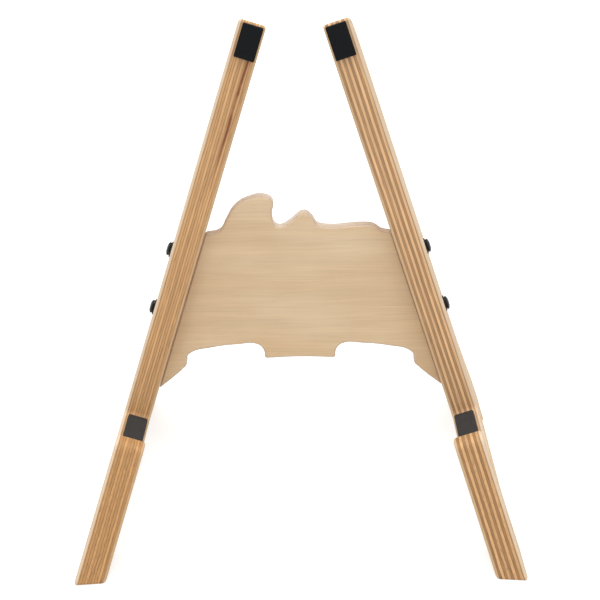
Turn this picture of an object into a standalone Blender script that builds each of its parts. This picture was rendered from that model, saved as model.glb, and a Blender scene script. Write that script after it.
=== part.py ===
"""Ukulele stand: two leaning birch plywood side panels, a shaped cross plate and foam pads.

Each side panel is one flat board with an upright, a seat arm, a lip and two feet.
The panels lean together towards the top and both lean back a little.
Four button head bolts hold them to the edges of the cross plate, in threaded inserts.
All sizes are in metres, +Z is up, and the front of the stand faces -Y.
"""
import math

import bmesh
import bpy
from mathutils import Matrix, Vector

# Stance of the stand
SIDE_LEAN = math.radians(17.8)       # each panel leans in towards the other
BACK_LEAN = math.radians(7.0)        # uprights and cross plate lean back
SEAT_HALF_SPACING = 0.0920           # centre plane of a panel to the middle, at the seat
SEAT_HEIGHT = 0.0300                 # rear corner of the seat above the ground
CENTRING = 0.0006                    # the splayed rear feet reach this much further than the front

# Side panel, measured in its own plane from the rear corner of the seat
PANEL_THICKNESS = 0.0150
UPRIGHT_LENGTH = 0.2305
UPRIGHT_DEPTH = 0.0360
UPRIGHT_TOP_RADIUS = 0.0015
UPRIGHT_BACK_RADIUS = 0.0260         # the top is rounded off behind
UPRIGHT_TOP_FALL = 0.0080            # and slopes down to the back
SEAT_DEPTH = 0.0800
SEAT_CORNER_RADIUS = 0.0030
SEAT_BEAM = 0.0150
LIP_HEIGHT = 0.0230
LIP_THICKNESS = 0.0130
LIP_RADIUS = 0.0050
FRONT_SPLAY = math.radians(18.0)
FRONT_FOOT_LENGTH = 0.0270
REAR_REACH = 0.0420                  # rear foot behind the back edge of the upright
REAR_FOOT_LENGTH = 0.0280
REAR_FLARE_HEIGHT = 0.0330
REAR_FOOT_RISE = 0.0090
FLARE_RADIUS = 0.0350
ARCH_RADIUS = 0.0110
FOOT_TRIM = 0.0080                   # board left below the ground until it is sawn level
PANEL_ROUNDING = 0.0016

# Cross plate, measured from the seat level along its own slope
PLATE_THICKNESS = 0.0090
PLATE_TOP = 0.1016
PLATE_BOTTOM = 0.0121
PLATE_ROUNDING = 0.0008

# Foam pads
PAD_WIDTH = 0.0112
PAD_INSET = 0.0008                   # pads sit a little towards the inner face
PAD_ROUNDING = 0.0004
TOP_PAD_LENGTH = 0.0185
TOP_PAD_THICKNESS = 0.0020
TOP_PAD_MARGIN = 0.0014
SEAT_PAD_THICKNESS = 0.0025
SEAT_PAD_MARGIN = 0.0020

# Bolts, washers and threaded inserts
BOLT_HEIGHTS = (0.0598, 0.0948)      # along the upright, from the seat
BOLT_LINE = 0.0165                   # bolts and plate behind the uprights' front edges
BOLT_DIAMETER = 0.0040
BOLT_LENGTH = 0.0260
BOLT_HEAD_DIAMETER = 0.0076
BOLT_HEAD_HEIGHT = 0.0017
BOLT_HEAD_RIM = 0.0004
HEX_SOCKET = 0.0025
HEX_SOCKET_DEPTH = 0.0009
WASHER_DIAMETER = 0.0090
WASHER_THICKNESS = 0.0005
HOLE_CLEARANCE = 0.0003
INSERT_DIAMETER = 0.0060
INSERT_LENGTH = 0.0120
INSERT_CHAMFER = 0.0006

GAP = 0.0003                         # between pieces that touch
ARC_STEP = math.radians(12.0)
TURN_STEPS = 32

UP_SLOPE = Vector((0.0, math.sin(BACK_LEAN), math.cos(BACK_LEAN)))
FORWARD = Vector((0.0, -math.cos(BACK_LEAN), math.sin(BACK_LEAN)))


def ground_height_on_panel(forward):
    """Height of the ground on a panel's centre plane, at a distance forward of the seat's rear."""
    drop = SEAT_HEIGHT + forward * math.sin(BACK_LEAN)
    return -drop / (math.cos(SIDE_LEAN) * math.cos(BACK_LEAN))


def foot_extremes():
    """Front and rear ends of the feet on the ground, as distances forward of the seat's rear."""
    rear = -UPRIGHT_DEPTH - REAR_REACH
    lip_front = SEAT_DEPTH + LIP_THICKNESS
    front = lip_front
    for _ in range(12):
        front = lip_front + math.tan(FRONT_SPLAY) * (LIP_HEIGHT - ground_height_on_panel(front))
    return front, rear


def forward_on_ground(forward):
    """Horizontal distance of a ground point of the panel in front of the seat's rear corner."""
    up = ground_height_on_panel(forward) * math.cos(SIDE_LEAN)
    return forward * math.cos(BACK_LEAN) - up * math.sin(BACK_LEAN)


def seat_origin(side):
    """The rear corner of a panel's seat, on the panel's centre plane, with the feet centred."""
    front, rear = foot_extremes()
    middle = (forward_on_ground(front) + forward_on_ground(rear)) / 2.0
    return Vector((side * SEAT_HALF_SPACING, middle - CENTRING, SEAT_HEIGHT))


def panel_axes(side):
    """Forward, up along the board, and outward from it."""
    up = -side * math.sin(SIDE_LEAN) * Vector((1, 0, 0)) + math.cos(SIDE_LEAN) * UP_SLOPE
    outward = side * math.cos(SIDE_LEAN) * Vector((1, 0, 0)) + math.sin(SIDE_LEAN) * UP_SLOPE
    return FORWARD, up, outward


def frame_matrix(origin, x_axis, y_axis):
    """A right-handed placement with the given x and y axes."""
    z_axis = x_axis.cross(y_axis)
    rows = [(x_axis[i], y_axis[i], z_axis[i], origin[i]) for i in range(3)]
    rows.append((0.0, 0.0, 0.0, 1.0))
    return Matrix(rows)


def panel_point(side, forward, up, out):
    """World position of a point given in a panel's own directions."""
    ahead, along, outward = panel_axes(side)
    return seat_origin(side) + forward * ahead + up * along + out * outward


def panel_frame(side):
    """Placement of a panel's outline: x forward, y up along the board."""
    ahead, along, _ = panel_axes(side)
    return frame_matrix(seat_origin(side), ahead, along)


def plate_frame():
    """Placement of the plate's outline: x to the right, y up the slope, on the bolts' plane."""
    centre = Vector((0.0, seat_origin(1).y, SEAT_HEIGHT))
    centre -= FORWARD * BOLT_LINE
    return frame_matrix(centre, Vector((1, 0, 0)), UP_SLOPE)


def material(name, colour, roughness, metallic=0.0):
    """A plain surface finish."""
    finish = bpy.data.materials.new(name)
    finish.use_nodes = True
    shader = finish.node_tree.nodes["Principled BSDF"]
    shader.inputs["Base Color"].default_value = (*colour, 1.0)
    shader.inputs["Roughness"].default_value = roughness
    shader.inputs["Metallic"].default_value = metallic
    return finish


def rounded_outline(corners):
    """Points round a polygon whose corners (x, y, radius) are filleted with arcs."""
    points = []
    count = len(corners)
    for index, (x, y, radius) in enumerate(corners):
        here = Vector((x, y))
        if radius == 0.0:
            points.append(here)
            continue
        back = (Vector(corners[index - 1][:2]) - here).normalized()
        ahead = (Vector(corners[(index + 1) % count][:2]) - here).normalized()
        half = back.angle(ahead) / 2.0
        centre = here + (back + ahead).normalized() * (radius / math.sin(half))
        arm = here + back * (radius / math.tan(half)) - centre
        turn = 1.0 if back.x * ahead.y - back.y * ahead.x < 0.0 else -1.0
        sweep = math.pi - 2.0 * half
        steps = max(2, round(sweep / ARC_STEP))
        for step in range(steps + 1):
            angle = turn * sweep * step / steps
            offset = (arm.x * math.cos(angle) - arm.y * math.sin(angle),
                      arm.x * math.sin(angle) + arm.y * math.cos(angle))
            points.append(centre + Vector(offset))
    return points


def board_curve(name, thickness):
    """An empty flat curve that fills to a board of the given thickness."""
    curve = bpy.data.curves.new(name, "CURVE")
    curve.dimensions = "2D"
    curve.fill_mode = "BOTH"
    curve.extrude = thickness / 2.0
    return curve


def curve_to_object(curve, name, placement, collection):
    """Turns a filled curve into a closed mesh object at its place."""
    guide = bpy.data.objects.new(name + "_outline", curve)
    bpy.context.scene.collection.objects.link(guide)
    bpy.context.view_layer.update()
    graph = bpy.context.evaluated_depsgraph_get()
    mesh = bpy.data.meshes.new_from_object(guide.evaluated_get(graph))
    bpy.data.objects.remove(guide)
    mesh.name = name
    work = bmesh.new()
    work.from_mesh(mesh)
    bmesh.ops.remove_doubles(work, verts=work.verts, dist=0.00001)
    bmesh.ops.dissolve_limit(work, angle_limit=math.radians(0.2), verts=work.verts, edges=work.edges)
    bmesh.ops.recalc_face_normals(work, faces=work.faces)
    work.to_mesh(mesh)
    work.free()
    board = bpy.data.objects.new(name, mesh)
    collection.objects.link(board)
    board.matrix_world = placement
    return board


def board_from_points(name, points, thickness, placement, collection):
    """A board with a straight-sided outline."""
    curve = board_curve(name, thickness)
    spline = curve.splines.new("POLY")
    spline.points.add(len(points) - 1)
    for point, (x, y) in zip(spline.points, points):
        point.co = (x, y, 0.0, 1.0)
    spline.use_cyclic_u = True
    return curve_to_object(curve, name, placement, collection)


def turned_mesh(name, profile):
    """A closed turned shape about z from a profile that runs down its outer side."""
    mesh = bpy.data.meshes.new(name)
    edges = [(i, i + 1) for i in range(len(profile) - 1)]
    mesh.from_pydata([(radius, 0.0, z) for radius, z in profile], edges, [])
    return mesh


def add_screw(target, steps=TURN_STEPS):
    """Turns a profile once round z."""
    screw = target.modifiers.new("turned", "SCREW")
    screw.steps = steps
    screw.render_steps = steps
    screw.use_merge_vertices = True
    screw.merge_threshold = 0.00001
    return screw


def add_bevel(target, width, segments=2):
    """Rounds the sharp edges."""
    bevel = target.modifiers.new("rounded edges", "BEVEL")
    bevel.width = width
    bevel.segments = segments
    bevel.limit_method = "ANGLE"
    bevel.angle_limit = math.radians(40.0)
    return bevel


def add_cut(target, cutter):
    """Cuts one solid out of another."""
    cut = target.modifiers.new("cut " + cutter.name, "BOOLEAN")
    cut.operation = "DIFFERENCE"
    cut.solver = "EXACT"
    cut.object = cutter
    return cut


def make_cutter(cutter):
    """Marks an object as a tool that isn't part of the stand."""
    cutter.hide_render = True
    cutter.display_type = "WIRE"


def ground_cutter(cutters):
    """A slab below the ground, to saw the feet level."""
    slab_size = 1.0
    bpy.ops.mesh.primitive_cube_add(size=slab_size, location=(0.0, 0.0, -slab_size / 2.0))
    slab = bpy.context.object
    slab.name = "ground_cutter"
    slab.users_collection[0].objects.unlink(slab)
    cutters.objects.link(slab)
    make_cutter(slab)
    return slab


def drill(name, radius, start, end, cutters):
    """A cylinder from one point to another."""
    axis = end - start
    bpy.ops.mesh.primitive_cylinder_add(vertices=TURN_STEPS, radius=radius, depth=axis.length)
    bit = bpy.context.object
    bit.name = name
    bit.location = (start + end) / 2.0
    bit.rotation_mode = "QUATERNION"
    bit.rotation_quaternion = axis.to_track_quat("Z", "Y")
    bit.users_collection[0].objects.unlink(bit)
    cutters.objects.link(bit)
    make_cutter(bit)
    return bit


def panel_corners():
    """The side panel's outline in its plane: (forward, up, radius) of each corner."""
    front, rear = foot_extremes()
    lip_front = SEAT_DEPTH + LIP_THICKNESS
    back_edge = -UPRIGHT_DEPTH
    front_heel = front - FRONT_FOOT_LENGTH
    rear_toe = rear + REAR_FOOT_LENGTH
    below_front = ground_height_on_panel(front) - FOOT_TRIM
    splayed_front = front + FOOT_TRIM * math.tan(FRONT_SPLAY)
    rear_ground = ground_height_on_panel(rear)
    return [
        (0.0, UPRIGHT_LENGTH, UPRIGHT_TOP_RADIUS),
        (0.0, 0.0, SEAT_CORNER_RADIUS),
        (SEAT_DEPTH, 0.0, SEAT_CORNER_RADIUS),
        (SEAT_DEPTH, LIP_HEIGHT, LIP_RADIUS),
        (lip_front, LIP_HEIGHT, LIP_RADIUS),
        (splayed_front, below_front, 0.0),
        (front_heel, ground_height_on_panel(front_heel) - FOOT_TRIM, 0.0),
        (front_heel - ARCH_RADIUS / 2.0, -SEAT_BEAM, ARCH_RADIUS),
        (rear_toe + ARCH_RADIUS, -SEAT_BEAM, ARCH_RADIUS / 2.0),
        (rear_toe, ground_height_on_panel(rear_toe) - FOOT_TRIM, 0.0),
        (rear, rear_ground - FOOT_TRIM, 0.0),
        (rear, rear_ground + REAR_FOOT_RISE, REAR_FOOT_RISE / 3.0),
        (back_edge, REAR_FLARE_HEIGHT, FLARE_RADIUS),
        (back_edge, UPRIGHT_LENGTH - UPRIGHT_TOP_FALL, UPRIGHT_BACK_RADIUS),
    ]


def bolt_span(side, height):
    """Start under the head and end of a bolt's hole through the panel and into the plate."""
    outer = panel_point(side, -BOLT_LINE, height, PANEL_THICKNESS / 2.0)
    inner = panel_point(side, -BOLT_LINE, height, -PANEL_THICKNESS / 2.0)
    return outer, inner


def side_panel(name, side, finish, parts, cutters, slab):
    """One side of the stand, sawn from a single board."""
    outline = rounded_outline(panel_corners())
    panel = board_from_points(name, outline, PANEL_THICKNESS, panel_frame(side), parts)
    add_cut(panel, slab)
    add_bevel(panel, PANEL_ROUNDING)
    for index, height in enumerate(BOLT_HEIGHTS):
        outer, inner = bolt_span(side, height)
        reach = (outer - inner).normalized() * PANEL_THICKNESS
        hole = drill(f"{name}_hole_{index + 1}", BOLT_DIAMETER / 2.0 + HOLE_CLEARANCE,
                     inner - reach, outer + reach, cutters)
        add_cut(panel, hole)
    panel.data.materials.append(finish)
    return panel


def plate_side(up):
    """Half the plate's width where its edge meets the panels' inner faces."""
    inner_face = SEAT_HALF_SPACING - up * math.tan(SIDE_LEAN)
    return inner_face - (PANEL_THICKNESS / 2.0 + GAP) / math.cos(SIDE_LEAN)


def plate_outline():
    """The plate's edge as (x, up, kind of handle): a breaking wave above, tab and feet below."""
    wave = [
        (-0.0430, 0.1036), (-0.0398, 0.1090), (-0.0351, 0.1167), (-0.0270, 0.1217),
        (-0.0175, 0.1227), (-0.0136, 0.1195), (-0.0143, 0.1130), (-0.0128, 0.1068),
        (-0.0098, 0.1055), (-0.0045, 0.1083), (0.0034, 0.1135), (0.0075, 0.1110),
        (0.0105, 0.1066), (0.0150, 0.1053), (0.0365, 0.1061), (0.0415, 0.1054),
        (0.0460, PLATE_TOP + 0.0009),
    ]
    corner_foot = [(0.0664, 0.0234), (0.0640, 0.0262), (0.0640, 0.0296), (0.0618, 0.0328)]
    tab = [(0.0500, 0.0360), (0.0355, 0.0377), (0.0234, 0.0375), (0.0203, 0.0342)]
    lower_right = [(x, up, "AUTO") for x, up in corner_foot + tab]
    lower_right.append((0.0198, 0.0294, "VECTOR"))
    lower_left = [(-x, up, kind) for x, up, kind in reversed(lower_right)]
    points = [(-plate_side(PLATE_TOP), PLATE_TOP, "VECTOR")]
    points += [(x, up, "AUTO") for x, up in wave]
    points.append((plate_side(PLATE_TOP), PLATE_TOP, "VECTOR"))
    points.append((plate_side(PLATE_BOTTOM), PLATE_BOTTOM, "VECTOR"))
    points += lower_right
    points.append((0.0, 0.0301, "AUTO"))
    points += lower_left
    points.append((-plate_side(PLATE_BOTTOM), PLATE_BOTTOM, "VECTOR"))
    return points


def cross_plate(finish, parts, cutters):
    """The board between the panels, with a hole for each insert in its slanted edges."""
    curve = board_curve("cross_plate", PLATE_THICKNESS)
    curve.resolution_u = 5
    outline = plate_outline()
    spline = curve.splines.new("BEZIER")
    spline.bezier_points.add(len(outline) - 1)
    for point, (x, up, kind) in zip(spline.bezier_points, outline):
        point.co = (x, up, 0.0)
        point.handle_left_type = kind
        point.handle_right_type = kind
    spline.use_cyclic_u = True
    plate = curve_to_object(curve, "cross_plate", plate_frame(), parts)
    add_bevel(plate, PLATE_ROUNDING, segments=1)
    for side in (-1, 1):
        for index, height in enumerate(BOLT_HEIGHTS):
            outer, inner = bolt_span(side, height)
            inward = (inner - outer).normalized()
            hole = drill(f"plate_hole_{side}_{index + 1}", INSERT_DIAMETER / 2.0 + GAP,
                         inner - inward * GAP, inner + inward * (INSERT_LENGTH + 4.0 * GAP), cutters)
            add_cut(plate, hole)
            depth = BOLT_LENGTH - PANEL_THICKNESS + 4.0 * GAP
            pilot = drill(f"plate_pilot_{side}_{index + 1}", BOLT_DIAMETER / 2.0 + GAP,
                          inner, inner + inward * depth, cutters)
            add_cut(plate, pilot)
    plate.data.materials.append(finish)
    return plate


def pad(name, size, centre, x_axis, y_axis, finish, parts):
    """A flat foam pad."""
    bpy.ops.mesh.primitive_cube_add(size=1.0)
    block = bpy.context.object
    block.name = name
    block.users_collection[0].objects.unlink(block)
    parts.objects.link(block)
    block.data.transform(Matrix.Diagonal((*size, 1.0)))
    block.matrix_world = frame_matrix(centre, x_axis, y_axis)
    add_bevel(block, PAD_ROUNDING)
    block.data.materials.append(finish)
    return block


def top_pad(name, side, finish, parts):
    """The pad on the front edge of an upright, at its top."""
    ahead, along, _ = panel_axes(side)
    up = UPRIGHT_LENGTH - TOP_PAD_MARGIN - TOP_PAD_LENGTH / 2.0
    centre = panel_point(side, GAP + TOP_PAD_THICKNESS / 2.0, up, -PAD_INSET)
    size = (TOP_PAD_THICKNESS, TOP_PAD_LENGTH, PAD_WIDTH)
    return pad(name, size, centre, ahead, along, finish, parts)


def seat_pad(name, side, finish, parts):
    """The pad along the seat, from the upright to the lip."""
    ahead, along, _ = panel_axes(side)
    length = SEAT_DEPTH - 2.0 * (SEAT_PAD_MARGIN + SEAT_CORNER_RADIUS)
    centre = panel_point(side, SEAT_DEPTH / 2.0, GAP + SEAT_PAD_THICKNESS / 2.0, -PAD_INSET)
    size = (length, SEAT_PAD_THICKNESS, PAD_WIDTH)
    return pad(name, size, centre, ahead, along, finish, parts)


def turned_piece(name, profile, origin, side, finish, parts):
    """A turned piece whose axis points out of a panel."""
    piece = bpy.data.objects.new(name, turned_mesh(name, profile))
    parts.objects.link(piece)
    ahead, _, outward = panel_axes(side)
    piece.matrix_world = frame_matrix(origin, ahead, outward.cross(ahead))
    add_screw(piece)
    piece.data.materials.append(finish)
    return piece


def bolt_profile():
    """Domed head above z = 0 and plain shank below it."""
    head = BOLT_HEAD_DIAMETER / 2.0
    shank = BOLT_DIAMETER / 2.0
    dome = BOLT_HEAD_HEIGHT - BOLT_HEAD_RIM
    steps = 6
    profile = []
    for step in range(steps + 1):
        angle = math.pi / 2.0 * step / steps
        profile.append((head * math.sin(angle), BOLT_HEAD_RIM + dome * math.cos(angle)))
    profile += [(head, 0.0), (shank, 0.0), (shank, -BOLT_LENGTH), (0.0, -BOLT_LENGTH)]
    return profile


def bolt(name, side, height, finish, parts, cutters):
    """A button head bolt with a hexagon socket."""
    outer, inner = bolt_span(side, height)
    outward = (outer - inner).normalized()
    under_head = outer + outward * (WASHER_THICKNESS + 2.0 * GAP)
    piece = turned_piece(name, bolt_profile(), under_head, side, finish, parts)
    crown = under_head + outward * BOLT_HEAD_HEIGHT
    bpy.ops.mesh.primitive_cylinder_add(vertices=6, radius=HEX_SOCKET / math.sqrt(3.0),
                                        depth=2.0 * HEX_SOCKET_DEPTH)
    key = bpy.context.object
    key.name = name + "_socket"
    key.matrix_world = Matrix.Translation(crown) @ piece.matrix_world.to_3x3().to_4x4()
    key.users_collection[0].objects.unlink(key)
    cutters.objects.link(key)
    make_cutter(key)
    add_cut(piece, key)
    return piece


def washer(name, side, height, finish, parts):
    """A flat washer between the bolt's head and the panel."""
    outer, inner = bolt_span(side, height)
    origin = outer + (outer - inner).normalized() * GAP
    edge = WASHER_DIAMETER / 2.0
    bore = BOLT_DIAMETER / 2.0 + HOLE_CLEARANCE
    profile = [(bore, WASHER_THICKNESS), (edge, WASHER_THICKNESS), (edge, 0.0), (bore, 0.0),
               (bore, WASHER_THICKNESS)]
    return turned_piece(name, profile, origin, side, finish, parts)


def threaded_insert(name, side, height, finish, parts):
    """The brass sleeve in the plate's edge that takes the bolt."""
    outer, inner = bolt_span(side, height)
    inward = (inner - outer).normalized()
    origin = inner + inward * 2.0 * GAP / math.cos(SIDE_LEAN)
    edge = INSERT_DIAMETER / 2.0
    bore = BOLT_DIAMETER / 2.0 + GAP
    profile = [(bore, 0.0), (edge, 0.0), (edge, INSERT_CHAMFER - INSERT_LENGTH),
               (edge - INSERT_CHAMFER, -INSERT_LENGTH), (bore, -INSERT_LENGTH), (bore, 0.0)]
    return turned_piece(name, profile, origin, side, finish, parts)


def build():
    """Makes the whole stand."""
    for old in list(bpy.data.objects):
        bpy.data.objects.remove(old)
    parts = bpy.data.collections.new("ukulele_stand")
    cutters = bpy.data.collections.new("cutters")
    bpy.context.scene.collection.children.link(parts)
    bpy.context.scene.collection.children.link(cutters)
    slab = ground_cutter(cutters)
    sides = {"left": -1, "right": 1}
    for word, side in sides.items():
        plywood = material(f"panel_plywood_{word}", (0.62, 0.43, 0.25), 0.55)
        side_panel(f"side_panel_{word}", side, plywood, parts, cutters, slab)
        black_foam = material(f"top_foam_{word}", (0.012, 0.013, 0.016), 0.9)
        top_pad(f"top_pad_{word}", side, black_foam, parts)
        grey_foam = material(f"seat_foam_{word}", (0.05, 0.048, 0.045), 0.9)
        seat_pad(f"seat_pad_{word}", side, grey_foam, parts)
        for place, height in zip(("lower", "upper"), BOLT_HEIGHTS):
            label = f"{word}_{place}"
            steel = material(f"black_steel_{label}", (0.02, 0.02, 0.022), 0.4, 0.8)
            bolt(f"bolt_{label}", side, height, steel, parts, cutters)
            ring = material(f"black_washer_{label}", (0.025, 0.025, 0.025), 0.45, 0.8)
            washer(f"washer_{label}", side, height, ring, parts)
            brass = material(f"brass_{label}", (0.55, 0.38, 0.16), 0.35, 1.0)
            threaded_insert(f"threaded_insert_{label}", side, height, brass, parts)
    birch = material("plate_birch", (0.78, 0.60, 0.38), 0.55)
    cross_plate(birch, parts, cutters)
    for piece in parts.objects:
        piece.data.shade_smooth()
        piece.data.set_sharp_from_angle(angle=math.radians(35.0))


build()
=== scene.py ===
# %% [markdown]
# # A ukulele stand of birch plywood
# The real stand is seven flat pieces of wood and foam: two side boards sawn from thick plywood,
# one thinner plate between them, and four foam pads. Four black bolts hold the boards together.
# The solids come from the CAD model and are never moved here. This script gives them their wood
# and metal, makes finer washers and the foam pads, and sets up the floor, the light and the camera.

import math

import bpy
import numpy as np
from mathutils import Matrix, Vector


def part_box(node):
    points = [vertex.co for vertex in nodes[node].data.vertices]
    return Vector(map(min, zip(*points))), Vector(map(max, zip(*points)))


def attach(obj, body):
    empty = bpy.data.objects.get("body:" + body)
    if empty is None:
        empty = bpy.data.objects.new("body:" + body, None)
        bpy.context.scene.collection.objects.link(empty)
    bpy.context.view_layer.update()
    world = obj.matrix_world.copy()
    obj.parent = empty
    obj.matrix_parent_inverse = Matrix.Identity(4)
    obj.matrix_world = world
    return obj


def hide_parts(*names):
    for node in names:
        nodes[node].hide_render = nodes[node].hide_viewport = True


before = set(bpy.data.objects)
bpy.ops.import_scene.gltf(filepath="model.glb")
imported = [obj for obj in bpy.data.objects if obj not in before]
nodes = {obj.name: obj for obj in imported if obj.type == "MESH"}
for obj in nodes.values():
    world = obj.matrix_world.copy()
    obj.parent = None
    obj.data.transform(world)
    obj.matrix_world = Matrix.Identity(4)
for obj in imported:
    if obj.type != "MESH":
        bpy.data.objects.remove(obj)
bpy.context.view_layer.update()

# %% [markdown]
# ## The boards' own directions
# Each side board leans in by 17.8 degrees, and the whole stand leans back by 7 degrees. Wood grain
# and plies follow the board and not the room, so every material needs three directions: forward in
# the board, up along it, and outward through its thickness. They could be read from the mesh, but
# two angles and one corner of the seat give them exactly.

# %% Directions and corners of the boards
SIDE_LEAN, BACK_LEAN = math.radians(17.8), math.radians(7.0)
SEAT_CORNER = (0.0920, 0.02204, 0.0300)
PANEL_THICKNESS, PLATE_THICKNESS = 0.0150, 0.0090
BOLT_LINE = 0.0165
BOLT_HEIGHTS = {"lower": 0.0598, "upper": 0.0948}
SIDES = {"left": -1, "right": 1}
UP_SLOPE = np.array([0.0, math.sin(BACK_LEAN), math.cos(BACK_LEAN)])
FORWARD = np.array([0.0, -math.cos(BACK_LEAN), math.sin(BACK_LEAN)])
RIGHT = np.array([1.0, 0.0, 0.0])


def board_axes(side):
    """Corner of the seat, then forward, up along the board, and outward through it."""
    corner = np.array([side * SEAT_CORNER[0], SEAT_CORNER[1], SEAT_CORNER[2]])
    along = -side * math.sin(SIDE_LEAN) * RIGHT + math.cos(SIDE_LEAN) * UP_SLOPE
    outward = side * math.cos(SIDE_LEAN) * RIGHT + math.sin(SIDE_LEAN) * UP_SLOPE
    return corner, FORWARD, along, outward


for word, side in SIDES.items():
    print(word, "board, outward", board_axes(side)[3].round(4))

# %% [markdown]
# ## A short way to write materials
# A material is a tree of nodes. Placing each one by hand takes four or five lines, so a small
# helper makes a node, fills its inputs and hands back its output. A number or colour that is the
# same all over goes straight into the shader's own socket, and only what varies is linked.


# %% Material helpers
class Recipe:
    """One procedural material. add() makes a node, and values or other nodes' outputs fill it."""

    def __init__(self, name):
        self.material = bpy.data.materials.new(name)
        self.material.use_nodes = True
        self.tree = self.material.node_tree
        self.shader = self.tree.nodes["Principled BSDF"]
        self.place = self.add("ShaderNodeTexCoord", output="Object")

    def fill(self, socket, value):
        """A socket is linked, and anything else is set as the input's own value."""
        if isinstance(value, bpy.types.NodeSocket):
            self.tree.links.new(value, socket)
        else:
            socket.default_value = value

    def add(self, kind, inputs=(), output=0, **settings):
        made = self.tree.nodes.new(kind)
        for key, value in settings.items():
            setattr(made, key, value)
        for key, value in dict(inputs).items():
            self.fill(made.inputs[key], value)
        return made.outputs[output]

    def math(self, operation, *values):
        return self.add("ShaderNodeMath", enumerate(values), operation=operation)

    def vector(self, operation, *values, output=0):
        return self.add("ShaderNodeVectorMath", enumerate(values), output, operation=operation)

    def along(self, axis, origin):
        """Distance from origin along an axis, in metres."""
        offset = self.vector("SUBTRACT", self.place, tuple(origin))
        return self.vector("DOT_PRODUCT", offset, tuple(axis), output="Value")

    def combine(self, x, y, z):
        return self.add("ShaderNodeCombineXYZ", {"X": x, "Y": y, "Z": z})

    def noise(self, vector, scale, detail=3.0, roughness=0.55, output="Fac"):
        values = {"Vector": vector, "Scale": scale, "Detail": detail, "Roughness": roughness}
        return self.add("ShaderNodeTexNoise", values, output)

    def band(self, value, low, high, to_low=0.0, to_high=1.0, kind="SMOOTHSTEP"):
        """Value carried from low..high to to_low..to_high, smoothly and clamped."""
        return self.add("ShaderNodeMapRange", enumerate((value, low, high, to_low, to_high)),
                        interpolation_type=kind)

    def mix(self, factor, first, second, blend="MIX"):
        """Two colours mixed."""
        made = self.tree.nodes.new("ShaderNodeMix")
        made.data_type, made.blend_type = "RGBA", blend
        for socket, value in zip((made.inputs[0], made.inputs[6], made.inputs[7]),
                                 (factor, first, second)):
            self.fill(socket, value)
        return made.outputs[2]

    def bump(self, height, distance, strength=1.0):
        return self.add("ShaderNodeBump", {"Height": height, "Distance": distance,
                                           "Strength": strength})

    def finish(self, **inputs):
        """Fills the shader's inputs and gives the material back."""
        for key, value in inputs.items():
            self.fill(self.shader.inputs[key.replace("_", " ")], value)
        return self.material


def colour(red, green, blue):
    """A linear colour with its alpha."""
    return red, green, blue, 1.0


def dress(node, material):
    """Gives a CAD node its finish in every material slot it has."""
    piece = nodes[node]
    if not piece.data.materials:
        piece.data.materials.append(material)
    for slot in piece.material_slots:
        slot.material = material


print("helpers ready")

# %% [markdown]
# ## Plywood, all the way through
# Plywood is glued from thin sheets whose grain turns a quarter from one to the next. On a sawn edge
# the sheets that run along the edge show pale long grain, and those that cross it show darker end
# grain, with a thin glue line between. A picture of stripes would smear on the rounded corners.
# Here the material knows how deep it is in the board, so any cut through it shows the right layers,
# as real plywood does: stripes on the edges, contour lines on the rounded corners, veneer on the faces.


# %% Layers of the plywood
def layers(recipe, corner, ahead, along, outward, half, plies, pale, dark, glue):
    """Layer number = (depth + half) / ply. Even layers have grain along the board, odd ones across.
    Colour = the layer's tone, streaked along its own grain, darkened in the glue lines.
    """
    depth = recipe.along(outward, corner)
    local = recipe.combine(recipe.along(ahead, corner), recipe.along(along, corner), depth)
    waver = recipe.noise(recipe.vector("MULTIPLY", local, (28.0, 11.0, 90.0)), 1.0, 3.0)
    wander = recipe.math("MULTIPLY", recipe.math("SUBTRACT", waver, 0.5), 0.0011)
    ply = 2.0 * half / (plies - 0.8)
    shifted = recipe.math("ADD", recipe.math("ADD", depth, wander), half + 0.1 * ply)
    layer = recipe.math("DIVIDE", shifted, ply)
    number = recipe.math("FLOOR", layer)
    within = recipe.math("FRACT", layer)
    odd = recipe.math("MODULO", number, 2.0)
    tint = recipe.add("ShaderNodeTexWhiteNoise", {"W": number}, "Value", noise_dimensions="1D")
    step = recipe.math("MULTIPLY", number, 0.37)
    spread = recipe.vector("ADD", local, recipe.combine(step, step, 0.0))
    lengthways = recipe.vector("MULTIPLY", spread, (900.0, 30.0, 2300.0))
    crossways = recipe.vector("MULTIPLY", spread, (40.0, 150.0, 2300.0))
    long_grain = recipe.noise(lengthways, 1.0, 5.0, 0.65)
    cross_grain = recipe.noise(crossways, 1.0, 5.0, 0.7)
    clouds = recipe.noise(recipe.vector("MULTIPLY", spread, (30.0, 14.0, 150.0)), 1.0, 2.0)
    hairs = recipe.noise(recipe.vector("MULTIPLY", local, (1300.0, 60.0, 2000.0)), 1.0, 2.0)
    grain = recipe.add("ShaderNodeMix", {0: odd, 2: long_grain, 3: cross_grain})
    gain = recipe.band(grain, 0.25, 0.75, 0.72, 1.26, "LINEAR")
    gain = recipe.math("ADD", gain, recipe.band(tint, 0.0, 1.0, -0.09, 0.07, "LINEAR"))
    gain = recipe.math("ADD", gain, recipe.band(clouds, 0.3, 0.7, -0.08, 0.08))
    gain = recipe.math("ADD", gain, recipe.band(hairs, 0.58, 0.72, 0.0, -0.26))
    edge = recipe.math("MINIMUM", within, recipe.math("SUBTRACT", 1.0, within))
    line = recipe.band(edge, 0.04, 0.20, glue, 0.0)
    gain = recipe.math("SUBTRACT", gain, line)
    body = recipe.mix(1.0, recipe.mix(odd, pale, dark), recipe.combine(gain, gain, gain), "MULTIPLY")
    return body, recipe.math("SUBTRACT", grain, line), depth


# %% [markdown]
# ## Birch veneer
# The wide faces are one peeled sheet of birch: faint fibres along the grain, broad pale clouds and
# short dark flecks. It is a softer, much finer pattern than an edge. The grain is bent a little by
# a slow noise, because peeled fibres never run quite straight. The same marks serve the faces of
# the side boards and of the plate, with the grain turned to suit.


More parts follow.
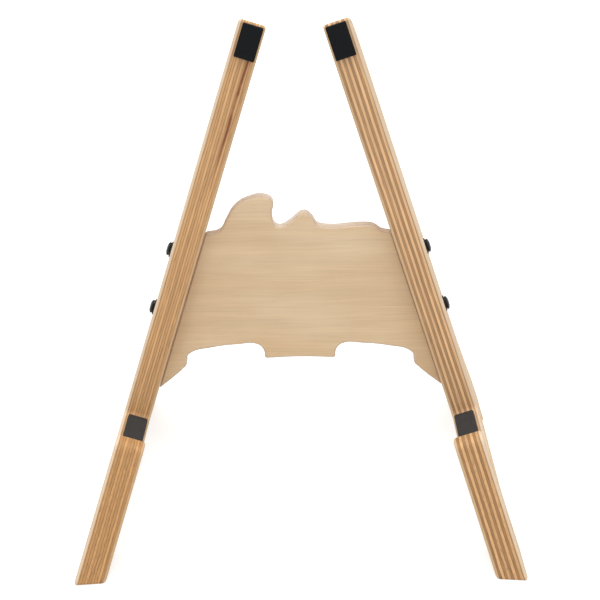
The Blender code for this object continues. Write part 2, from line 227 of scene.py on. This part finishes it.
# %% Veneer on the wide faces
def veneer(recipe, centre, grain_axis, cross_axis, depth, tones):
    """Tone = clouds between two colours. Gain = fibres + ripple - flecks, all stretched along the
    grain, where the cross coordinate is bent by a slow noise.
    """
    along = recipe.along(grain_axis, centre)
    across = recipe.along(cross_axis, centre)
    local = recipe.combine(along, across, depth)
    bend = recipe.noise(recipe.vector("MULTIPLY", local, (11.0, 26.0, 4.0)), 1.0, 2.0)
    shift = recipe.math("MULTIPLY", recipe.math("SUBTRACT", bend, 0.5), 0.006)
    bent = recipe.math("ADD", across, shift)
    flow = recipe.combine(along, bent, depth)
    fibres = recipe.noise(recipe.vector("MULTIPLY", flow, (26.0, 1300.0, 40.0)), 1.0, 6.0, 0.62)
    ripple = recipe.noise(recipe.vector("MULTIPLY", flow, (7.0, 170.0, 10.0)), 1.0, 4.0)
    clouds = recipe.noise(recipe.vector("MULTIPLY", local, (12.0, 30.0, 10.0)), 1.0, 3.0)
    flecks = recipe.noise(recipe.vector("MULTIPLY", flow, (170.0, 2000.0, 300.0)), 1.0, 2.0)
    gain = recipe.band(fibres, 0.25, 0.75, 0.92, 1.08, "LINEAR")
    gain = recipe.math("ADD", gain, recipe.band(ripple, 0.3, 0.7, -0.035, 0.035))
    gain = recipe.math("ADD", gain, recipe.band(flecks, 0.62, 0.76, 0.0, -0.08))
    tone = recipe.mix(recipe.band(clouds, 0.35, 0.68), *tones)
    body = recipe.mix(1.0, tone, recipe.combine(gain, gain, gain), "MULTIPLY")
    return body, recipe.math("SUBTRACT", fibres, recipe.math("MULTIPLY", flecks, 0.5)), across


print("plywood helpers ready")

# %% [markdown]
# ## Side boards
# In the photograph the left board is cut from a sheet whose layers are alike, parted by fine dark
# glue lines. The right one has strong light and dark layers. Both lips are painted a little darker
# than the uprights, as painted shade, and a reddish streak runs down the left upright from under
# its pad. The outermost layer is rounded and painted pale on the outer side: partly its own sanded
# colour, partly painted highlight where the side and overhead light catches the roundover.

# %% Side board materials
PANEL_PLIES, PLATE_PLIES = 11, 7
BOARDS = {
    "left": dict(pale=colour(0.655, 0.378, 0.173), dark=colour(0.575, 0.322, 0.143), glue=0.38),
    "right": dict(pale=colour(0.745, 0.465, 0.246), dark=colour(0.425, 0.238, 0.113), glue=0.22),
}
# The first colour paints the outer rounded edge pale, partly sanded wood and partly painted highlight;
# the second darkens the lips as painted shade.
SANDED_RIM_AND_HIGHLIGHT, LIP_PAINTED_SHADE = colour(0.84, 0.70, 0.54), colour(0.83, 0.776, 0.672)
FACE_TONES = (colour(0.66, 0.455, 0.265), colour(0.72, 0.530, 0.335))
STREAK = dict(start=0.152, end=0.214, depth=-0.0031, width=0.0014, hue=colour(0.21, 0.068, 0.027))


def board_wood(word, side):
    """Layers on the sawn edges, veneer on the wide faces, mixed by how deep the surface lies."""
    corner, ahead, along, outward = board_axes(side)
    half = PANEL_THICKNESS / 2.0
    recipe = Recipe("panel_plywood_" + word)
    edge, edge_relief, depth = layers(recipe, corner, ahead, along, outward, half, PANEL_PLIES,
                                      **BOARDS[word])
    up = recipe.along(along, corner)
    forward = recipe.along(ahead, corner)
    # Painted shade: from 70 to 82 mm forward on, the lip is darkened.
    lip = recipe.band(forward, 0.070, 0.082)
    edge = recipe.mix(lip, edge, recipe.mix(1.0, edge, LIP_PAINTED_SHADE, "MULTIPLY"))
    if word == "left":
        drift = recipe.noise(recipe.combine(0.0, recipe.math("MULTIPLY", up, 45.0), 0.0), 1.0, 3.0)
        shift = recipe.math("MULTIPLY", recipe.math("SUBTRACT", drift, 0.5), STREAK["width"])
        offset = recipe.math("SUBTRACT", recipe.math("ADD", depth, shift), STREAK["depth"])
        width, start, end = STREAK["width"], STREAK["start"], STREAK["end"]
        near = recipe.band(recipe.math("ABSOLUTE", offset), 0.1 * width, width, 1.0, 0.0)
        reach = recipe.math("MULTIPLY", recipe.band(up, start - 0.02, start + 0.02),
                            recipe.band(up, end, end + 0.01, 1.0, 0.0))
        patchy = recipe.band(drift, 0.30, 0.50, 0.45, 1.0)
        edge = recipe.mix(recipe.math("MULTIPLY", recipe.math("MULTIPLY", near, reach), patchy),
                          edge, STREAK["hue"])
    face, face_relief, _ = veneer(recipe, corner, along, ahead, depth, FACE_TONES)
    skin = recipe.band(recipe.math("ABSOLUTE", depth), half - 0.0018, half - 0.0011)
    edge = recipe.mix(skin, edge, recipe.mix(0.5, face, edge))
    # Partly painted highlight: the outer rounded edge is paled towards the sanded colour, which also
    # stands for the light it catches.
    sanded_and_lit_rim = recipe.band(depth, half - 0.0020, half - 0.0010)
    edge = recipe.mix(recipe.math("MULTIPLY", sanded_and_lit_rim, 0.6), edge, SANDED_RIM_AND_HIGHLIGHT)
    facing = recipe.band(recipe.math("ABSOLUTE", depth), half - 0.0005, half - 0.0001)
    body = recipe.mix(facing, edge, face)
    relief = recipe.add("ShaderNodeMix", {0: facing, 2: edge_relief, 3: face_relief})
    rough = recipe.band(relief, 0.2, 0.7, 0.60, 0.48, "LINEAR")
    return recipe.finish(Base_Color=body, Roughness=rough, Specular_IOR_Level=0.3,
                         Normal=recipe.bump(relief, 0.00012, 0.5))


for word, side in SIDES.items():
    wood = board_wood(word, side)
    dress("side_panel_" + word, wood)
    print(wood.name, len(wood.node_tree.nodes), "nodes")

# %% [markdown]
# ## The cross plate
# The plate shows its birch face, with the grain from side to side and a slightly warmer tone low
# down. Its sawn edge is painted pale: partly its own birch colour, partly painted highlight for the
# strong light from above. A fine brown line, a little darker, is painted on the sharp corner round
# the wave, where face and edge meet. The layers turn with the board: depth runs forward through it.

# %% Plate material
plate_centre = np.array([0.0, SEAT_CORNER[1], SEAT_CORNER[2]]) - BOLT_LINE * FORWARD
# The edge tones are partly the birch's own and partly painted highlight, made pale for the strong light
# from above.
PLATE_EDGE_AND_HIGHLIGHT = dict(pale=colour(0.86, 0.73, 0.60), dark=colour(0.74, 0.60, 0.47), glue=0.12)
PLATE_TONES = (colour(0.680, 0.492, 0.302), colour(0.735, 0.565, 0.374))
# The second colour paints a fine darker brown line on the sharp corner between face and edge.
LOW_SHADE, CORNER_LINE_TONE = colour(0.99, 0.955, 0.90), colour(0.46, 0.28, 0.16)


def plate_wood():
    """Veneer on the face, layers on the edge, and a darker line where the two meet."""
    recipe = Recipe("plate_plywood")
    half = PLATE_THICKNESS / 2.0
    edge, edge_relief, depth = layers(recipe, plate_centre, UP_SLOPE, RIGHT, FORWARD, half,
                                      PLATE_PLIES, **PLATE_EDGE_AND_HIGHLIGHT)
    face, face_relief, up = veneer(recipe, plate_centre, RIGHT, UP_SLOPE, depth, PLATE_TONES)
    face = recipe.mix(recipe.band(up, 0.060, 0.022), face,
                      recipe.mix(1.0, face, LOW_SHADE, "MULTIPLY"))
    reach = recipe.math("ABSOLUTE", depth)
    facing = recipe.band(reach, half - 0.0003, half - 0.0001)
    body = recipe.mix(facing, edge, face)
    # A fine darker line is painted along the corner where the face meets the edge.
    sharp = recipe.math("MULTIPLY", recipe.band(reach, half - 0.0008, half - 0.0005),
                        recipe.band(reach, half - 0.0003, half - 0.0001, 1.0, 0.0))
    body = recipe.mix(recipe.math("MULTIPLY", sharp, 0.50), body, CORNER_LINE_TONE)
    relief = recipe.add("ShaderNodeMix", {0: facing, 2: edge_relief, 3: face_relief})
    rough = recipe.band(relief, 0.2, 0.7, 0.56, 0.46, "LINEAR")
    return recipe.finish(Base_Color=body, Roughness=rough, Specular_IOR_Level=0.3,
                         Normal=recipe.bump(relief, 0.00008, 0.35))


dress("cross_plate", plate_wood())

# %% [markdown]
# ## Black steel and brass
# The bolts are button heads with a black oxide finish on flat washers, and they screw into brass
# sleeves in the plate's slanted edges. Oxide is dark and a little uneven, and it wears to grey on
# the rims where a key or a finger has rubbed it.


# %% Metal materials
OXIDE, WORN_OXIDE = colour(0.020, 0.020, 0.022), colour(0.060, 0.058, 0.057)
DULL_BRASS, BRIGHT_BRASS = colour(0.55, 0.36, 0.14), colour(0.72, 0.50, 0.22)


def black_steel(name, rough):
    """Near-black metal with faint cloudy wear."""
    recipe = Recipe(name)
    wear = recipe.noise(recipe.vector("MULTIPLY", recipe.place, (900.0, 900.0, 900.0)), 1.0, 4.0)
    body = recipe.mix(recipe.band(wear, 0.45, 0.75), OXIDE, WORN_OXIDE)
    return recipe.finish(Base_Color=body, Metallic=0.85,
                         Roughness=recipe.band(wear, 0.3, 0.7, rough, rough + 0.14),
                         Normal=recipe.bump(wear, 0.00002, 0.4))


def turned_brass(name):
    """Warm metal with fine turning marks."""
    recipe = Recipe(name)
    marks = recipe.noise(recipe.vector("MULTIPLY", recipe.place, (2600.0, 500.0, 500.0)), 1.0, 3.0)
    body = recipe.mix(recipe.band(marks, 0.3, 0.7), DULL_BRASS, BRIGHT_BRASS)
    return recipe.finish(Base_Color=body, Metallic=1.0,
                         Roughness=recipe.band(marks, 0.3, 0.7, 0.26, 0.42),
                         Normal=recipe.bump(marks, 0.00002, 0.3))


oxide, washer_steel = black_steel("bolt_oxide", 0.34), black_steel("washer_oxide", 0.42)
brass = turned_brass("insert_brass")
for node in nodes:
    if node.startswith("bolt_"):
        dress(node, oxide)
    elif node.startswith("washer_"):
        dress(node, washer_steel)
    elif node.startswith("threaded_insert_"):
        dress(node, brass)
print("metal pieces", sum(n.startswith(("bolt_", "washer_", "threaded_")) for n in nodes))

# %% [markdown]
# ## Washers
# A real washer is stamped: its rim is rounded on one side, and it is pressed flat against the wood
# by the bolt, with no daylight on either side. The CAD washer keeps a working gap of 0.3 mm, so a
# finer one stands for it here, turned from a profile with a raised middle that meets the head.

# %% Turned washers
MILLIMETRES = 1000.0
WASHER_PROFILE = np.array([(2.3, 0.02), (4.3, 0.02), (4.45, 0.08), (4.5, 0.18), (4.5, 0.42),
                           (4.44, 0.56), (4.28, 0.66), (3.7, 0.72), (3.55, 0.80), (3.4, 1.08),
                           (2.3, 1.08)]) / MILLIMETRES


def turned(profile, start, axis, rounds=96):
    """Point(a, b) = start + axis * z(b) + radius(b) * (cos a, sin a) in the plane across the axis."""
    first = np.cross(axis, UP_SLOPE)
    first /= np.linalg.norm(first)
    second = np.cross(axis, first)
    turn = np.linspace(0.0, 2.0 * np.pi, rounds, endpoint=False)
    ring = np.cos(turn)[:, None] * first + np.sin(turn)[:, None] * second
    return start + profile[:, None, 1:] * axis + profile[:, None, :1] * ring[None]


def ring_mesh(name, grid):
    """Joins every ring to the next, and the last to the first, so the bore is closed too."""
    count, rounds, _ = grid.shape
    index = np.arange(count * rounds).reshape(count, rounds)
    after = np.roll(index, -1, 0)
    quads = np.stack([index, np.roll(index, -1, 1), np.roll(after, -1, 1), after], axis=-1)
    mesh = bpy.data.meshes.new(name)
    mesh.from_pydata(grid.reshape(-1, 3).tolist(), [], quads.reshape(-1, 4).tolist())
    mesh.shade_smooth()
    mesh.set_sharp_from_angle(angle=math.radians(40.0))
    piece = bpy.data.objects.new(name, mesh)
    bpy.context.scene.collection.objects.link(piece)
    return piece


for word, side in SIDES.items():
    corner, ahead, along, outward = board_axes(side)
    for place, height in BOLT_HEIGHTS.items():
        start = corner - BOLT_LINE * ahead + height * along + PANEL_THICKNESS / 2.0 * outward
        ring = ring_mesh(f"washer_ring_{word}_{place}", turned(WASHER_PROFILE, start, outward))
        ring.data.materials.append(washer_steel)
        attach(ring, "root")
        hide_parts(f"washer_{word}_{place}")
        print(ring.name, len(ring.data.polygons), "faces")

# %% [markdown]
# ## Foam pads
# Each pad is a strip punched from a sheet of closed-cell foam and stuck to the board, so that the
# ukulele touches no bare wood. Punching rounds the corners and draws the sides in a little at half
# height, and the top is slightly crowned. A box would show none of this. Here a closed surface of
# two parameters makes it: one goes round the strip's outline, the other climbs from the middle of
# the underside, round the edge, to the middle of the top.


# %% Foam pad shape
WAVE_HEIGHT = 0.00002


def pad_surface(length, width, height, corner, seed, rounds=128, climbs=26):
    """Point(a, b) = outline(a) shrunk by inset(b), at height(b).

    The outline is a rounded rectangle: a superellipse of power 2 + min(length, width) / corner.
    b runs underside middle, lower rim, waist, upper rim, crown. The crown rises as
    (1 - r^4) towards the middle, and low waves of seeded sines make the top uneven.
    """
    around = np.linspace(0.0, 2.0 * np.pi, rounds, endpoint=False)
    power = 2.0 / (2.0 + min(length, width) / corner)
    shape = np.stack([np.sign(np.cos(around)) * np.abs(np.cos(around)) ** power,
                      np.sign(np.sin(around)) * np.abs(np.sin(around)) ** power], axis=1)
    rim = 0.32 * height
    flat = np.linspace(0.04, 1.0, climbs // 3)
    turn = np.linspace(0.0, np.pi / 2.0, 7)
    low = [(share, 0.0, 0.10 * rim) for share in flat]
    wall = [(1.0, 0.10 * rim, 0.0), (1.0, 0.30 * height, 0.00008), (1.0, 0.50 * height, 0.00013)]
    top_rim = [(1.0, height - rim + rim * math.sin(t), rim * (1.0 - math.cos(t))) for t in turn]
    top = [(share, height, rim) for share in flat[::-1][1:]]
    share, rise, inset = np.array(low + wall + top_rim + top).T
    half = np.array([length, width]) / 2.0
    flat_xy = shape[None] * (half[None, None] - inset[:, None, None]) * share[:, None, None]
    z = np.repeat(rise[:, None], rounds, axis=1)
    crown = 0.06 * height * (1.0 - share ** 4)
    phase = np.random.default_rng(seed).uniform(0.0, 6.28, 4)
    x, y = flat_xy[..., 0], flat_xy[..., 1]
    waves = np.sin(x * 900.0 + phase[0]) * np.sin(y * 800.0 + phase[1])
    waves += 0.6 * np.sin(x * 2100.0 + phase[2]) * np.cos(y * 1700.0 + phase[3])
    on_top = rise >= height - 1e-9
    z = z + np.where(on_top, crown - 0.03 * height, 0.0)[:, None]
    z = z + np.where(on_top, 1.0, 0.0)[:, None] * waves * WAVE_HEIGHT
    return np.concatenate([flat_xy, z[..., None]], axis=2)


def closed_mesh(name, grid):
    """Joins a grid of rings into quads, closes both poles, and makes its object at the origin."""
    rings, rounds, _ = grid.shape
    index = np.arange(rings * rounds).reshape(rings, rounds)
    a, b = index[:-1], index[1:]
    quads = np.stack([a, np.roll(a, -1, 1), np.roll(b, -1, 1), b], axis=-1).reshape(-1, 4)
    poles = np.stack([grid[0].mean(0), grid[-1].mean(0)])
    first, last = rings * rounds, rings * rounds + 1
    bottom = np.stack([np.full(rounds, first), np.roll(index[0], -1), index[0]], axis=-1)
    top = np.stack([np.full(rounds, last), index[-1], np.roll(index[-1], -1)], axis=-1)
    points = np.concatenate([grid.reshape(-1, 3), poles])
    mesh = bpy.data.meshes.new(name)
    mesh.from_pydata(points.tolist(), [], quads.tolist() + bottom.tolist() + top.tolist())
    mesh.shade_smooth()
    piece = bpy.data.objects.new(name, mesh)
    bpy.context.scene.collection.objects.link(piece)
    return piece


print("pad surface", pad_surface(0.07, 0.0112, 0.0025, 0.0006, 1).shape)

# %% [markdown]
# ## Foam finish
# Closed-cell foam has a skin of fine pits, a dull sheen at grazing angles, and a little wood dust.
# The pits are a noise at about 0.4 mm, used for both colour and bump.


# %% Foam material
def foam(name, base, pale):
    """Fine pits in colour and relief, with a soft sheen."""
    recipe = Recipe(name)
    pits = recipe.noise(recipe.vector("MULTIPLY", recipe.place, (2600.0,) * 3), 1.0, 3.0, 0.7)
    smudge = recipe.noise(recipe.vector("MULTIPLY", recipe.place, (260.0,) * 3), 1.0, 3.0)
    body = recipe.mix(recipe.band(pits, 0.35, 0.72), base, pale)
    body = recipe.mix(recipe.band(smudge, 0.35, 0.75, 0.0, 0.35), body, pale)
    return recipe.finish(Base_Color=body, Roughness=0.88, Sheen_Weight=0.05, Specular_IOR_Level=0.2,
                         Normal=recipe.bump(pits, 0.00018, 0.6))


black_foam = foam("top_pad_foam", colour(0.0022, 0.0026, 0.0034), colour(0.0068, 0.0075, 0.0088))
grey_foam = foam("seat_pad_foam", colour(0.0205, 0.019, 0.0178), colour(0.041, 0.038, 0.0355))
print("foam materials", black_foam.name, grey_foam.name)

# %% [markdown]
# ## Placing the pads
# A pad lies where its CAD solid lies: on the front edge of the upright near its top, or along the
# seat between the upright and the lip. Its flat underside rests on the wood, and its long side
# follows the board.

# %% Make the pads
PAD_WIDTH, PAD_INSET, PAD_CORNER, GAP = 0.0112, 0.0008, 0.0004, 0.0003
UPRIGHT_LENGTH, SEAT_DEPTH = 0.2305, 0.0800
TOP_PAD_LENGTH, TOP_PAD_MARGIN = 0.0185, 0.0014
SEAT_PAD_MARGIN, SEAT_CORNER_RADIUS = 0.0020, 0.0030
TOP_PAD = {"length": TOP_PAD_LENGTH, "height": 0.0020,
           "middle": UPRIGHT_LENGTH - TOP_PAD_MARGIN - TOP_PAD_LENGTH / 2.0}
SEAT_PAD = {"length": SEAT_DEPTH - 2.0 * (SEAT_PAD_MARGIN + SEAT_CORNER_RADIUS), "height": 0.0025,
            "middle": SEAT_DEPTH / 2.0}
TOP_SEED, SEAT_SEED = 3, 7


def place_pad(name, node, size, long_axis, rise_axis, start, material, seed):
    """World point = start + x along the pad's long side + y across it + z off the wood."""
    across = np.cross(rise_axis, long_axis)
    grid = pad_surface(size["length"], PAD_WIDTH, size["height"], PAD_CORNER, seed)
    world = start + grid[..., :1] * long_axis + grid[..., 1:2] * across + grid[..., 2:] * rise_axis
    piece = closed_mesh(name, world)
    piece.data.materials.append(material)
    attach(piece, "root")
    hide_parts(node)
    low, high = world.reshape(-1, 3).min(0), world.reshape(-1, 3).max(0)
    off = max(np.abs(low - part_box(node)[0]).max(), np.abs(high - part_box(node)[1]).max())
    print(name, "at most", round(float(off) * MILLIMETRES, 2), "mm from its CAD box")


for word, side in SIDES.items():
    corner, ahead, along, outward = board_axes(side)
    inset = -PAD_INSET * outward
    start = corner + TOP_PAD["middle"] * along + GAP * ahead + inset
    place_pad("top_foam_" + word, "top_pad_" + word, TOP_PAD, along, ahead, start,
              black_foam, TOP_SEED + side)
    start = corner + SEAT_PAD["middle"] * ahead + GAP * along + inset
    place_pad("seat_foam_" + word, "seat_pad_" + word, SEAT_PAD, ahead, along, start,
              grey_foam, SEAT_SEED + side)

# %% [markdown]
# ## Floor, light and camera
# The stand is seen from the front and a little above, on white. The floor and the backdrop give
# that white by themselves, through their own colour and a glow that only the camera and mirrors
# see, so the light on the wood can stay plain and its colours come out as written.


# %% Floor and backdrop
WHITE, FLOOR_PAINT = colour(1.0, 1.0, 1.0), colour(0.55, 0.55, 0.55)
FLOOR_REACH, NEAR_GLOW, FULL_GLOW = 6.0, 0.62, 1.0
GLOW_STARTS, GLOW_ENDS = 0.4, 1.6
WORLD_LIGHT, WORLD_SEEN = 0.42, 1.0


def stage_material(name):
    """Pale paint plus a glow seen only by the camera and in reflections.

    The glow grows from NEAR_GLOW to full white between 0.4 and 1.6 m from the stand, where no
    shadow falls, so the floor meets the background without a line.
    """
    recipe = Recipe(name)
    path = recipe.tree.nodes.new("ShaderNodeLightPath")
    mirrored = recipe.math("MAXIMUM", path.outputs["Is Glossy Ray"],
                           path.outputs["Is Transmission Ray"])
    seen = recipe.math("MAXIMUM", path.outputs["Is Camera Ray"], mirrored)
    away = recipe.vector("LENGTH", recipe.place, output="Value")
    glow = recipe.band(away, GLOW_STARTS, GLOW_ENDS, NEAR_GLOW, FULL_GLOW)
    return recipe.finish(Base_Color=FLOOR_PAINT, Roughness=0.9, Specular_IOR_Level=0.1,
                         Emission_Color=WHITE, Emission_Strength=recipe.math("MULTIPLY", seen, glow))


floor_mesh = bpy.data.meshes.new("studio_floor")
floor_corners = [(x * FLOOR_REACH, y * FLOOR_REACH, 0.0) for x, y in ((-1, -1), (1, -1), (1, 1), (-1, 1))]
floor_mesh.from_pydata(floor_corners, [], [(0, 1, 2, 3)])
floor = bpy.data.objects.new("studio_floor", floor_mesh)
bpy.context.scene.collection.objects.link(floor)
floor_mesh.materials.append(stage_material("studio_white"))

world = bpy.data.worlds.new("studio")
bpy.context.scene.world = world
world.use_nodes = True
tree = world.node_tree
backdrop = tree.nodes["Background"]
backdrop.inputs["Color"].default_value = WHITE
path = tree.nodes.new("ShaderNodeLightPath")
pick = tree.nodes.new("ShaderNodeMix")
pick.data_type = "FLOAT"
pick.inputs[2].default_value, pick.inputs[3].default_value = WORLD_LIGHT, WORLD_SEEN
tree.links.new(path.outputs["Is Camera Ray"], pick.inputs[0])
tree.links.new(pick.outputs[0], backdrop.inputs["Strength"])
print("floor and world ready")


# %% Lamps
AIM, RIM_AIM = (0.0, 0.0, 0.1), (0.0, 0.0, 0.12)


def softbox(name, place, target, size, power):
    """A square area lamp aimed at a point."""
    lamp = bpy.data.lights.new(name, "AREA")
    lamp.shape, lamp.size, lamp.energy = "SQUARE", size, power
    holder = bpy.data.objects.new(name, lamp)
    bpy.context.scene.collection.objects.link(holder)
    holder.location = place
    holder.rotation_euler = (Vector(target) - Vector(place)).to_track_quat("-Z", "Y").to_euler()


softbox("key_softbox", (-0.45, -1.6, 1.0), AIM, size=1.6, power=10.6)
softbox("fill_softbox", (0.9, -1.4, 0.7), AIM, size=1.6, power=5.5)
softbox("overhead_softbox", (0.0, 0.1, 1.5), AIM, size=1.4, power=19.0)
softbox("left_rim_softbox", (-1.2, 0.5, 0.5), RIM_AIM, size=0.8, power=4.0)
softbox("right_rim_softbox", (1.2, 0.5, 0.5), RIM_AIM, size=0.8, power=3.0)

# %% Camera
CAMERA_PLACE = (0.0104, -0.7794, 0.4722)
CAMERA_DOWN, CAMERA_TURN, CAMERA_ROLL = 24.861, -0.695, -1.026
SENSOR_WIDTH, FOCAL_LENGTH = 36.0, 97.772
NEAREST, FARTHEST = 0.05, 50.0
lens = bpy.data.cameras.new("photo_view")
lens.sensor_width, lens.lens = SENSOR_WIDTH, FOCAL_LENGTH
lens.clip_start, lens.clip_end = NEAREST, FARTHEST
camera = bpy.data.objects.new("photo_view", lens)
bpy.context.scene.collection.objects.link(camera)
turn = Matrix.Rotation(math.radians(-CAMERA_TURN), 4, "Z")
tilt = Matrix.Rotation(math.radians(90.0 - CAMERA_DOWN), 4, "X")
roll = Matrix.Rotation(math.radians(CAMERA_ROLL), 4, "Z")
camera.matrix_world = Matrix.Translation(CAMERA_PLACE) @ turn @ tilt @ roll
bpy.context.scene.camera = camera
bpy.context.scene.view_settings.view_transform = "Standard"
print("camera", tuple(round(v, 4) for v in camera.location))
